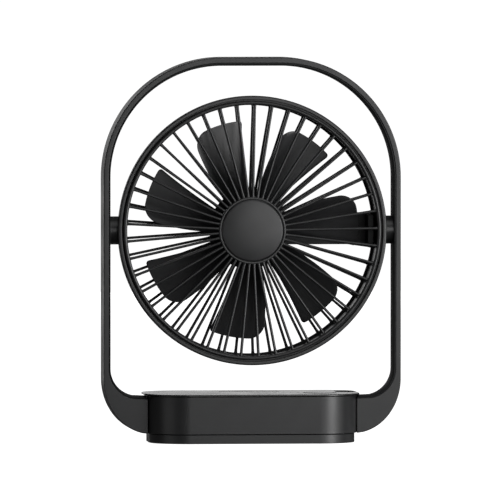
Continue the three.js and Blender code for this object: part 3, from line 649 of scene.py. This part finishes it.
button = Skin()
top = button_high[2]
underside = button_low[2] + STEM_LENGTH
dished = BUTTON_RADIUS - BUTTON_RIM
dip = [(r, top - BUTTON_DISH * (1 - (r / dished) ** 2)) for r in (0, 1.5, 3, 4.5, 6, 7, dished)]
edge = soften(
    [(dished, top, 0), (BUTTON_RADIUS, top, 0.2), (BUTTON_RADIUS, underside, 0), (0, underside, 0)],
    steps=6,
)
button.lathe(dip + edge[1:], "z", (button_x, button_y, 0), 96)
stem = [(0, underside), (STEM_RADIUS, underside), (STEM_RADIUS, button_low[2]), (0, button_low[2])]
button.lathe(stem, "z", (button_x, button_y, 0), 24)
piece("push_button", button, button_black, "power_button", ["power_button"])

# ---- Carrying hoop -----------------------------------------------------------------------

hoop_low, hoop_high = node_box("hoop_band")
HALF_WIDTH = hoop_high[0]
HOOP_TOP = hoop_high[2]
HOOP_BOTTOM = hoop_low[2]
HALF_DEPTH = hoop_high[1]
TOP_RADIUS = 66.8
FOOT_ACROSS = 26.5  # the oval corner outside each foot
FOOT_UP = 30.5
HEEL_RADIUS = 16.9
HEEL_HEIGHT = 41.5
BAND = 2.75  # thickness of the arms
TOP_BAND = 3.15  # and across the top
SEAT_INSET = BODY_INSET - 0.7  # the feet stop here, a shadow gap away from the base's wall
FOOT_START = 61  # nearer the middle than this, the band's low part is inside the base
UPPER_PART = 60  # above this the band is never inside the base
OUTER_EDGE = 0.55
INNER_EDGE = 0.35


def hoop_edges():
    """Matching points on the band's outer and inner faces, from the right foot to the left one."""
    arc_x, arc_z = HALF_WIDTH - TOP_RADIUS, HOOP_TOP - TOP_RADIUS
    foot_x, foot_z = HALF_WIDTH - FOOT_ACROSS, HOOP_BOTTOM + FOOT_UP
    heel_x = HALF_WIDTH - BAND - HEEL_RADIUS
    inner_radius = TOP_RADIUS - TOP_BAND
    inner_x = HALF_WIDTH - BAND - inner_radius
    oval = arc(0, 0, 1, -90, 0, 40)
    outer = [(foot_x + FOOT_ACROSS * u, foot_z + FOOT_UP * v) for u, v in oval]
    inner = arc(heel_x, HEEL_HEIGHT, HEEL_RADIUS, -90, 0, 40)
    for i in range(1, 9):
        part = i / 9
        outer.append((HALF_WIDTH, foot_z + (arc_z - foot_z) * part))
        inner.append((HALF_WIDTH - BAND, HEEL_HEIGHT + (arc_z - HEEL_HEIGHT) * part))
    outer += arc(arc_x, arc_z, TOP_RADIUS, 0, 90, 64)
    inner += arc(inner_x, arc_z, inner_radius, 0, 90, 64)
    for i in range(1, 3):
        outer.append((arc_x * (1 - i / 3), HOOP_TOP))
        inner.append((inner_x * (1 - i / 3), HOOP_TOP - TOP_BAND))
    pairs = list(zip(outer, inner))
    right = [(o, i) for o, i in pairs if o[0] > FOOT_START]
    right += [(o, i) for o, i in pairs if o[0] <= FOOT_START and o[1] > UPPER_PART]
    middle = [((0, HOOP_TOP), (0, HOOP_TOP - TOP_BAND))]
    mirrored = [((-ox, oz), (-ix, iz)) for (ox, oz), (ix, iz) in reversed(right)]
    return right + middle + mirrored


def band_ring(outer, inner, snap=None):
    """The band's section between two points. With snap, its end is cut to the base's outline."""
    span = math.dist(outer, inner)
    corners = [
        (0, -HALF_DEPTH, OUTER_EDGE),
        (span, -HALF_DEPTH, INNER_EDGE),
        (span, HALF_DEPTH, INNER_EDGE),
        (0, HALF_DEPTH, OUTER_EDGE),
    ]
    ring = []
    for u, y in soften(corners, closed=True, steps=5):
        x = outer[0] + (inner[0] - outer[0]) * u / span
        z = outer[1] + (inner[1] - outer[1]) * u / span
        if snap:
            x = snap * wall_x(y, SEAT_INSET)
        ring.append((x, y, z))
    return ring


FOOT_TOP = HEEL_HEIGHT - HEEL_RADIUS
FOOT_LOW = HOOP_BOTTOM + 0.2  # the oval has risen this much where a foot meets the base
TONGUE_ENDS = (52, 62)  # each foot's tongue, from inside the base into the foot
TONGUE_HALF_DEPTH = 7.5
TONGUE_LOW, TONGUE_HIGH = 8.5, 23.4

EDGES = hoop_edges()
band = Skin()
rings = [band_ring((0, FOOT_LOW), (0, FOOT_TOP), snap=1)]
rings += [band_ring(outer, inner) for outer, inner in EDGES]
rings.append(band_ring((0, FOOT_LOW), (0, FOOT_TOP), snap=-1))
band.loft(rings, cap_first=True, cap_last=True)
tongue = oblong(-TONGUE_HALF_DEPTH, TONGUE_LOW, TONGUE_HALF_DEPTH, TONGUE_HIGH, 0.6)
for side in (-1, 1):
    rings = [[(side * x, y, z) for y, z in tongue] for x in TONGUE_ENDS]
    band.loft(rings, cap_first=True, cap_last=True)
piece("hoop_frame", band, hoop_black, "stand", ["hoop_band"])

STRIP_EDGE = 0.3
STRIP_CROWN = 1.4
STRIP_GAP = 0.3
CROWN_STEPS = 16
CROWN_HALF = HALF_DEPTH - 0.1
SEAT_HALF = HALF_DEPTH - 0.9  # the strip sits on the band here, with a groove on both sides
SEAT_DEPTH = 0.5
EDGE_HALF = HALF_DEPTH - 0.25
STRIP_FOOT = 64  # the strip's low ends start this far out
BOSS_GAP = 0.3

strip = Skin()
section = [
    (0, -EDGE_HALF),
    (0, -SEAT_HALF),
    (-SEAT_DEPTH, -SEAT_HALF),
    (-SEAT_DEPTH, SEAT_HALF),
    (0, SEAT_HALF),
    (0, EDGE_HALF),
]
for i in range(CROWN_STEPS + 1):
    share = math.cos(math.pi * i / CROWN_STEPS)
    y = CROWN_HALF * share
    section.append((STRIP_EDGE + (STRIP_CROWN - STRIP_EDGE) * (1 - share**2), y))


def strip_foot(side):
    """The end of the strip on a foot, cut to the base's outline."""
    return [(side * wall_x(y, SEAT_INSET), y, FOOT_TOP + STRIP_GAP + u) for u, y in section]


rings = [strip_foot(1)]
inner_edge = [inner for _, inner in EDGES if abs(inner[0]) > STRIP_FOOT or inner[1] > UPPER_PART]
count = len(inner_edge)
for i, (x, z) in enumerate(inner_edge):
    a, b = inner_edge[max(i - 1, 0)], inner_edge[min(i + 1, count - 1)]
    along = Vector((b[0] - a[0], b[1] - a[1])).normalized()
    inward = Vector((-along.y, along.x))
    rings.append(
        [(x + (STRIP_GAP + u) * inward.x, y, z + (STRIP_GAP + u) * inward.y) for u, y in section]
    )
rings.append(strip_foot(-1))
strip.loft(rings, cap_first=True, cap_last=True)
drum_low, drum_high = node_box("guard_drum")
PIVOT = mid(drum_low, drum_high, 2)
CENTRE = (0, 0, PIVOT)
boss_low, boss_high = node_box("pivot_boss_right")
hole = half_size(boss_low, boss_high, 2) + BOSS_GAP
past = HALF_WIDTH + 7  # past both arms
boss_way = Skin()
boss_way.lathe([(0, -past), (hole, -past), (hole, past), (0, past)], "x", CENTRE, 96)
strip_mesh = cut(strip.mesh("strip"), boss_way)
piece("hoop_strip", None, strip_black, "stand", ["hoop_inner_strip"], mesh=strip_mesh)

# ---- Head --------------------------------------------------------------------------------

DRUM_RADIUS = drum_high[0]
DRUM_FRONT = drum_low[1]
DRUM_BACK = drum_high[1]
RIB_COUNT = 45


def polar(radius, degrees, y):
    angle = math.radians(degrees)
    return (radius * math.cos(angle), y, PIVOT + radius * math.sin(angle))


LIP = DRUM_RADIUS - 2.05  # inside of the drum's lip
RING_OUT = DRUM_RADIUS - 2.95  # the grille's ring, a dark groove inside the lip
RING_IN = DRUM_RADIUS - 5.1
GROOVE_FLOOR = -6.7
RING_BACK = -7
WALL_FRONT = DRUM_RADIUS - 4.1  # inside of the drum's wall
WALL_BACK = DRUM_RADIUS - 4.7
CURVE_Y = -6  # from here the drum's outside draws in towards the back
BACK_RADIUS = DRUM_RADIUS - 2.4

drum = Skin()
drum.lathe(
    soften(
        [
            (LIP, DRUM_FRONT, 0.35),
            (DRUM_RADIUS, DRUM_FRONT, 0.8),
            (DRUM_RADIUS, CURVE_Y, 6),
            (BACK_RADIUS, DRUM_BACK, 0.6),
            (WALL_BACK, DRUM_BACK, 0.5),
            (WALL_FRONT, GROOVE_FLOOR, 0),
            (LIP, GROOVE_FLOOR, 0),
        ],
        closed=True,
        steps=6,
    ),
    centre=CENTRE,
    sides=256,
)
piece("guard_ring", drum, guard_black, "head", ["guard_drum"])


RIB_WIDTH = 1.4
RIB_BACK_EDGE = 0.3
FLARE_PART = 0.06  # share of a rib's length that widens, at each end


def ribs(skin, inner, outer, front, back, first, flare, edge):
    """Straight spokes with rounded front edges, that widen a little into the rings at both ends."""
    stations = [0, 0.012, 0.03, FLARE_PART, 0.12, 0.5, 0.88, 1 - FLARE_PART, 0.97, 0.988, 1]
    for i in range(RIB_COUNT):
        angle = math.radians(first + i * 360 / RIB_COUNT)
        cos, sin = math.cos(angle), math.sin(angle)
        rings = []
        for part in stations:
            radius = inner + (outer - inner) * part
            near = min(part, 1 - part)
            side = RIB_WIDTH / 2 + flare * max(0, 1 - near / FLARE_PART) ** 2
            corners = [
                (-side, front, edge),
                (side, front, edge),
                (side, back, RIB_BACK_EDGE),
                (-side, back, RIB_BACK_EDGE),
            ]
            section = soften(corners, closed=True, steps=3)
            rings.append([(radius * cos - u * sin, y, PIVOT + radius * sin + u * cos) for u, y in section])
        skin.loft(rings, cap_first=True, cap_last=True)


_, grille_high = node_box("front_grille")
cap_low, cap_high = node_box("hub_cap")
HUB_CAP_RADIUS = cap_high[0]
FRONT_TURN = -1.15  # of the first rib from straight up
FRONT_RIB_FACE, FRONT_RIB_BACK = -10.2, -6.9
HUB_FLOOR = -8.4  # the hub ring's plate, behind the cap
HUB_FACE = -11.2
HUB_RING_IN = HUB_CAP_RADIUS + 0.25
HUB_RING_OUT = HUB_CAP_RADIUS + 1.45

front = Skin()
front.lathe(
    soften(
        [
            (RING_IN, RING_BACK, 0.3),
            (RING_OUT, RING_BACK, 0),
            (RING_OUT, DRUM_FRONT, 0.9),
            (RING_IN, DRUM_FRONT, 1.1),
        ],
        closed=True,
        steps=5,
    ),
    centre=CENTRE,
    sides=256,
)
front.lathe(
    soften(
        [
            (0, HUB_FLOOR, 0),
            (HUB_RING_IN, HUB_FLOOR, 0),
            (HUB_RING_IN, HUB_FACE, 0.2),
            (HUB_RING_OUT, HUB_FACE, 0.5),
            (HUB_RING_OUT, grille_high[1], 0.3),
            (0, grille_high[1], 0),
        ],
        steps=5,
    ),
    centre=CENTRE,
    sides=128,
)
rib_root, rib_end = HUB_CAP_RADIUS + 0.9, RING_IN + 0.5
ribs(front, rib_root, rib_end, FRONT_RIB_FACE, FRONT_RIB_BACK, 90 + FRONT_TURN, 0.25, 0.6)
piece("front_guard", front, rib_black, "head", ["front_grille"])

DOME_RADIUS = 16.6
DOME_DROP = 0.95
DOME_POWER = 2.3  # flat in the middle, rounder towards the edge
SKIRT_Y = -11
CAP_BACK = -8.7

hub = Skin()
dome = []
for r in (0, 2, 4, 6, 8, 10, 12, 13.5, 14.8, 15.8):
    dome.append((r, cap_low[1] + DOME_DROP * (r / DOME_RADIUS) ** DOME_POWER))
rim = soften(
    [
        (*dome[-1], 0),
        (DOME_RADIUS, cap_low[1] + DOME_DROP, 0.7),
        (HUB_CAP_RADIUS, SKIRT_Y, 0.3),
        (HUB_CAP_RADIUS, CAP_BACK, 0),
        (0, CAP_BACK, 0),
    ],
    steps=5,
)
hub.lathe(dome + rim[1:], centre=CENTRE, sides=128)
piece("hub_disc", hub, cap_black, "head", ["hub_cap"])

REAR_TURN = -2.05
REAR_FACE = 11  # the rear grille's front
REAR_RIB_BACK = 14
REAR_RING = (69.3, 70.6)
REAR_RING_BACK = 14.2
MOTOR_PLATE = 22  # radius of the disc that carries the motor
MOTOR_PLATE_BACK = 13.5

back = Skin()
ring_section = oblong(REAR_RING[0], REAR_FACE, REAR_RING[1], REAR_RING_BACK, 0.3)
back.lathe(ring_section, centre=CENTRE, sides=256)
disc_section = soften(
    [
        (0, REAR_FACE, 0),
        (MOTOR_PLATE, REAR_FACE, 0.5),
        (MOTOR_PLATE, MOTOR_PLATE_BACK, 0.4),
        (0, MOTOR_PLATE_BACK, 0),
    ],
    steps=4,
)
back.lathe(disc_section, centre=CENTRE, sides=96)
rib_root, rib_end = MOTOR_PLATE - 0.5, REAR_RING[0] + 0.5
ribs(back, rib_root, rib_end, REAR_FACE, REAR_RIB_BACK, 90 + REAR_TURN, 0.3, 0.4)
duct_low, duct_high = node_box("rear_duct")
END_EDGE = 0.3  # bevel at both ends of a duct piece


def rounded_box(skin, low, high, radius):
    """A box whose long edges along X are rounded."""
    section = oblong(low[1], low[2], high[1], high[2], radius, steps=4)
    middle_y, middle_z = mid(low, high, 1), mid(low, high, 2)

    def drawn_in(value, middle, shrink):
        return value - math.copysign(min(shrink, abs(value - middle)), value - middle)

    rings = []
    ends = ((low[0], END_EDGE), (low[0] + END_EDGE, 0), (high[0] - END_EDGE, 0), (high[0], END_EDGE))
    for x, shrink in ends:
        points = [(drawn_in(y, middle_y, shrink), drawn_in(z, middle_z, shrink)) for y, z in section]
        rings.append([(x, y, z) for y, z in points])
    skin.loft(rings, cap_first=True, cap_last=True)


# a flat bar joins the motor's disc to the ring in front of the duct
rounded_box(back, (18, REAR_FACE, duct_low[2]), (69.2, REAR_RIB_BACK, duct_high[2]), 0.3)
piece("rear_guard", back, rear_black, "head", ["rear_grille"])

duct = Skin()
rounded_box(duct, duct_low, duct_high, 0.6)
piece("duct_channel", duct, rear_black, "head", ["rear_duct"])
lid_low, lid_high = node_box("duct_cover")
lid = Skin()
rounded_box(lid, lid_low, lid_high, 0.6)
piece("duct_lid", lid, guard_black, "head", ["duct_cover"])
lead_low, lead_high = node_box("lead_box")
entry = Skin()
rounded_box(entry, lead_low, lead_high, 0.4)
piece("lead_entry", entry, rear_black, "head", ["lead_box"])

motor_low, motor_high = node_box("motor_cap")
MOTOR_RADIUS = motor_high[0]
MOTOR_BACK = motor_high[1]
DIMPLE_DEPTH = 0.7  # a shallow ring pressed into the middle of the cover

rear_cap = Skin()
rear_cap.lathe(
    soften(
        [
            (0, motor_low[1], 0),
            (MOTOR_RADIUS, motor_low[1], 0.2),
            (MOTOR_RADIUS - 0.3, 18.2, 1.5),
            (17.5, 21, 2.5),
            (8.5, MOTOR_BACK - 0.3, 0.3),
            (8.2, MOTOR_BACK - DIMPLE_DEPTH, 0.2),
            (7.8, MOTOR_BACK - DIMPLE_DEPTH, 0.2),
            (7.5, MOTOR_BACK - 0.2, 0.3),
            (0, MOTOR_BACK, 0),
        ],
        steps=6,
    ),
    centre=CENTRE,
    sides=128,
)
piece("motor_cover", rear_cap, guard_black, "head", ["motor_cap"])

BOSS_ROOT = 72.8  # inside the drum's wall
for side, sign in (("left", -1), ("right", 1)):
    low, high = node_box(f"pivot_boss_{side}")
    root, outer = sign * BOSS_ROOT, sign * max(abs(low[0]), abs(high[0]))
    radius = half_size(low, high, 2)
    boss = Skin()
    section = soften([(0, root, 0), (radius, root, 0), (radius, outer, 0.5), (0, outer, 0)])
    boss.lathe(section, "x", CENTRE, 96)
    piece(f"boss_{side}", boss, guard_black, "head", [f"pivot_boss_{side}"])

# ---- Impeller ----------------------------------------------------------------------------

BLADE_COUNT = 7
TIP = 60.7
ROOT = 16
FIRST_ANGLE = 42.4
ROOT_TURN = 4
TIP_SPAN = 28.4
ROOT_SPAN = 35
LEADING_Y = 9
TRAILING_Y = -2
LEADING_CORNER = 2
TRAILING_CORNER = 8
CAMBER = 1.2
THICKNESS = 1.4
CHORD_STEPS = 14
EDGE_POWER = 14  # how late a blade thins out towards its edges
HUB_RADIUS = 17
HUB_WALL_IN = 14.5
SHAFT_RADIUS = 1.7
HUB_NOSE, NOSE_INSIDE, HUB_REAR = -3.4, -1.5, 9


def corner_loss(radius, corner):
    """What a rounded corner at the tip takes off an edge at this radius."""
    rise = max(0, radius - (TIP - corner))
    return corner - math.sqrt(max(0, corner**2 - rise**2))


def blade_ring(radius, first, thickness):
    """A blade's section at a radius: both faces, from the leading edge and back to it."""
    part = (radius - ROOT) / (TIP - ROOT)
    start = ROOT_TURN * (1 - part)
    span = ROOT_SPAN + (TIP_SPAN - ROOT_SPAN) * part
    leading = start + math.degrees(corner_loss(radius, LEADING_CORNER) / radius)
    trailing = start + span - math.degrees(corner_loss(radius, TRAILING_CORNER) / radius)
    shares = [(1 - math.cos(math.pi * i / CHORD_STEPS)) / 2 for i in range(CHORD_STEPS + 1)]

    def point(share, side):
        angle = leading + (trailing - leading) * share
        chord = (angle - start) / span
        y = LEADING_Y + (TRAILING_Y - LEADING_Y) * chord + CAMBER * math.sin(math.pi * chord)
        thick = thickness * math.sqrt(max(0, 1 - abs(2 * share - 1) ** EDGE_POWER))
        return polar(radius, first + angle, y + side * thick / 2)

    return [point(s, -1) for s in shares] + [point(s, 1) for s in reversed(shares[1:-1])]


wheel = Skin()
corner_start = TIP - TRAILING_CORNER
radii = [ROOT + (corner_start - ROOT) * i / 8 for i in range(9)]
radii += [TIP - TRAILING_CORNER * (1 - math.sin(math.radians(a))) for a in range(9, 90, 9)]
for i in range(BLADE_COUNT):
    first = FIRST_ANGLE + i * 360 / BLADE_COUNT
    rings = [blade_ring(radius, first, THICKNESS) for radius in radii]
    rings.append(blade_ring(TIP - 0.03, first, THICKNESS * 0.8))
    rings.append(blade_ring(TIP, first, THICKNESS * 0.35))
    wheel.loft(rings, cap_first=True, cap_last=True)
wheel.lathe(
    soften(
        [
            (SHAFT_RADIUS, HUB_NOSE, 0),
            (HUB_RADIUS - 2, HUB_NOSE, 1.2),
            (HUB_RADIUS, HUB_NOSE + 1.6, 1.2),
            (HUB_RADIUS, HUB_REAR, 0.4),
            (HUB_WALL_IN, HUB_REAR, 0.2),
            (HUB_WALL_IN, NOSE_INSIDE, 0),
            (SHAFT_RADIUS, NOSE_INSIDE, 0),
        ],
        closed=True,
        steps=5,
    ),
    centre=CENTRE,
    sides=112,
)
piece("fan_wheel", wheel, blade_black, "impeller", ["impeller"])

# ---- Studio ------------------------------------------------------------------------------


LIGHT_TARGET = Vector((0, 0, 0.1))  # metres


def soft_light(name, azimuth, elevation, distance, width, height, radiance):
    """A softbox aimed at the fan, in metres. Azimuth 0 is in front, positive to the right."""
    light = bpy.data.lights.new(name, "AREA")
    light.shape = "RECTANGLE"
    light.size = width
    light.size_y = height
    light.energy = radiance * math.pi * width * height
    thing = bpy.data.objects.new(name, light)
    bpy.context.scene.collection.objects.link(thing)
    a, e = math.radians(azimuth), math.radians(elevation)
    thing.visible_camera = False
    away = Vector((math.sin(a) * math.cos(e), -math.cos(a) * math.cos(e), math.sin(e)))
    thing.location = LIGHT_TARGET + distance * away
    thing.rotation_euler = (LIGHT_TARGET - thing.location).to_track_quat("-Z", "Y").to_euler()


soft_light("key_near", 13, 6, 1.1, 0.45, 0.5, 2.8)
soft_light("key_far", 42, 4, 1.1, 0.42, 0.55, 8.6)
soft_light("side_right", 65, 2, 1.1, 0.45, 0.5, 1.3)
soft_light("rim_right", 105, 5, 1.1, 0.6, 0.6, 0.5)
soft_light("side_left", -60, 0, 1.1, 0.7, 0.5, 0.55)
soft_light("top", 0, 88, 1.3, 1.4, 1.2, 0.6)
soft_light("overhead_front", 10, 52, 1.1, 0.7, 0.5, 1.1)
soft_light("backdrop_glow", 180, 3, 2.2, 0.9, 0.6, 0.9)
soft_light("floor_bounce", 45, -26, 1.1, 0.7, 0.4, 1.2)

WORLD_STRENGTH = 0.07
world = bpy.data.worlds.new("studio")
bpy.context.scene.world = world
world.use_nodes = True
sky = world.node_tree.nodes["Background"]
sky.inputs["Color"].default_value = (1, 1, 1, 1)
sky.inputs["Strength"].default_value = WORLD_STRENGTH

# The white sweep shines by itself, so that it stays white behind the fan without a shadow.
FLOOR_RADIUS = 60000
FLOOR_DARK, FLOOR_LIGHT = (0.86, 0.86, 0.86), (0.88, 0.88, 0.88)
floor_material, tree, bsdf = shader("floor_white")
bsdf.inputs["Roughness"].default_value = 0.9
bsdf.inputs["Specular IOR Level"].default_value = 0.0
floor_tint = tint(tree, noise(tree, 900, 2, 9), FLOOR_DARK, FLOOR_LIGHT)
tree.links.new(floor_tint, bsdf.inputs["Base Color"])
bsdf.inputs["Emission Color"].default_value = (1, 1, 1, 1)
bsdf.inputs["Emission Strength"].default_value = 1.0
floor_skin = Skin()
floor_skin.fill([(px, py, 0) for px, py in circle(0, 0, FLOOR_RADIUS, 36)])
floor = bpy.data.objects.new("floor", floor_skin.mesh("floor"))
floor.data.materials.append(floor_material)
bpy.context.scene.collection.objects.link(floor)
floor.visible_glossy = False
floor.visible_diffuse = False
floor.visible_shadow = False
